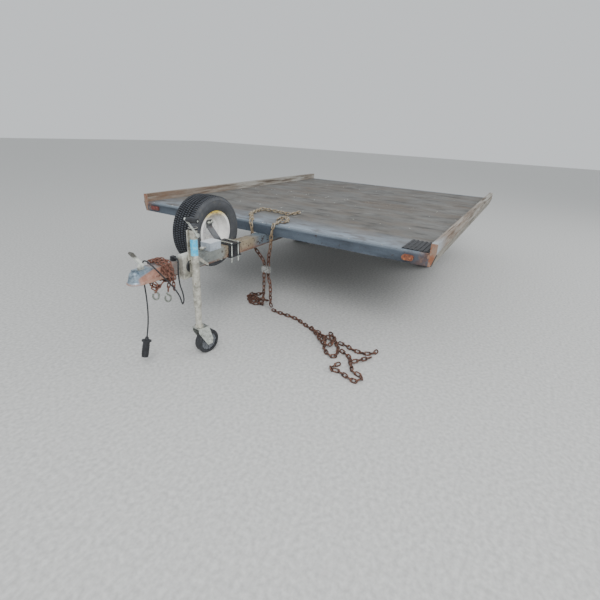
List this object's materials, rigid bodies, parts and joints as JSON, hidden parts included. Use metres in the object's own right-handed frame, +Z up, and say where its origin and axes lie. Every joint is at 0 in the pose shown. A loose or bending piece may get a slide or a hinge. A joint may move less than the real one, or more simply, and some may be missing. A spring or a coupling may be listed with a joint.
{
  "type": "snowmobile trailer",
  "caption": "Tilt-bed trailer with a flat deck, side boards, a single tongue with a swivel jack and a spare wheel beside it.",
  "frame": {"origin": "centre of the trailer's box on the ground", "axes": "+X forward to the coupler, +Y to the trailer's left, +Z up"},
  "size_m": [4.217, 2.526, 0.899],
  "materials": {
    "worn_steel": "brown and grey paint worn to rust",
    "coupler_steel": "worn silver paint with faded red rust",
    "galvanised": "dull galvanised",
    "grey_paint": "plain grey paint",
    "dark_steel": "dark weathered steel",
    "white_paint": "white wheel paint, stained yellow at the top",
    "tyre_rubber": "black rubber with a low sheen",
    "rusty_steel": "brown rust",
    "padlock_steel": "dull steel",
    "black_rubber": "black rubber",
    "frame_paint": "dark blue-grey paint with rust at the corners",
    "weathered_timber": "grey weathered timber",
    "deck_plywood": "worn grey-painted plywood",
    "amber_lens": "amber lens",
    "red_lens": "red lens",
    "bright_zinc": "bright zinc plate",
    "grey_plastic": "dark grey plastic"
  },
  "bodies": {
    "tongue": {"tongue_beam": "worn_steel", "coupler": "coupler_steel", "coupler_latch": "galvanised", "stub_box": "grey_paint", "pull_pin": "galvanised", "u_bolts": "galvanised", "carrier_clamp": "dark_steel", "carrier_arm": "dark_steel", "spare_rim": "white_paint", "spare_tyre": "tyre_rubber", "jack_bracket": "galvanised", "safety_chain": "rusty_steel", "lock_chain_front": "rusty_steel", "lock_chain_ground": "rusty_steel", "padlock": "padlock_steel", "cord_tube": "black_rubber", "cord_grommet": "black_rubber", "cord_plug": "black_rubber"},
    "bed": {"front_channel": "frame_paint", "rear_channel": "frame_paint", "side_rail_left": "frame_paint", "side_rail_right": "frame_paint", "side_board_left": "weathered_timber", "side_board_right": "weathered_timber", "board_shoe_left": "dark_steel", "board_shoe_right": "dark_steel", "cross_members": "frame_paint", "pivot_beam": "frame_paint", "stringers": "frame_paint", "deck_sheet_1": "deck_plywood", "deck_sheet_2": "deck_plywood", "marker_lamp_left": "amber_lens", "reflector_right": "red_lens", "tail_lamp_left": "red_lens", "tail_lamp_right": "red_lens", "plate_blank": "galvanised", "pivot_lugs": "dark_steel", "pivot_pin": "dark_steel", "axle": "dark_steel", "leaf_spring_left": "dark_steel", "leaf_spring_right": "dark_steel", "spring_hangers_left": "dark_steel", "spring_hangers_right": "dark_steel", "lock_chain_deck": "rusty_steel"},
    "wheel_left": {"tyre_left": "tyre_rubber", "rim_left": "white_paint", "hub_left": "dark_steel"},
    "wheel_right": {"tyre_right": "tyre_rubber", "rim_right": "white_paint", "hub_right": "dark_steel"},
    "jack": {"jack_outer_tube": "galvanised", "jack_crank": "galvanised", "crank_grip": "black_rubber"},
    "jack_leg": {"jack_inner_tube": "galvanised"},
    "jack_caster": {"jack_fork": "bright_zinc"},
    "jack_wheel": {"jack_wheel_tread": "black_rubber", "jack_wheel_core": "grey_plastic"}
  },
  "joints": [
    {"name": "bed_tilt", "type": "hinge", "parent": "tongue", "child": "bed", "pos_m": [-1.0605, 0, 0.5664], "axis": [0, -1, 0], "range_deg": [0, 29]},
    {"name": "wheel_left_spin", "type": "hinge", "parent": "bed", "child": "wheel_left", "pos_m": [-1.0605, 0.81, 0.236], "axis": [0, 1, 0], "continuous": true},
    {"name": "wheel_right_spin", "type": "hinge", "parent": "bed", "child": "wheel_right", "pos_m": [-1.0605, -0.81, 0.236], "axis": [0, 1, 0], "continuous": true},
    {"name": "jack_swing", "type": "hinge", "parent": "tongue", "child": "jack", "pos_m": [1.7465, 0.107, 0.572], "axis": [0, 1, 0], "range_deg": [0, 90]},
    {"name": "jack_extend", "type": "slide", "parent": "jack", "child": "jack_leg", "axis": [0, 0, 1], "range_m": [-0.13, 0.12]},
    {"name": "jack_caster_turn", "type": "hinge", "parent": "jack_leg", "child": "jack_caster", "pos_m": [1.7465, 0.107, 0.19], "axis": [0, 0, 1], "continuous": true},
    {"name": "jack_wheel_spin", "type": "hinge", "parent": "jack_caster", "child": "jack_wheel", "pos_m": [1.69501, 0.11424, 0.076], "axis": [0.1392, 0.9903, 0], "continuous": true}
  ]
}
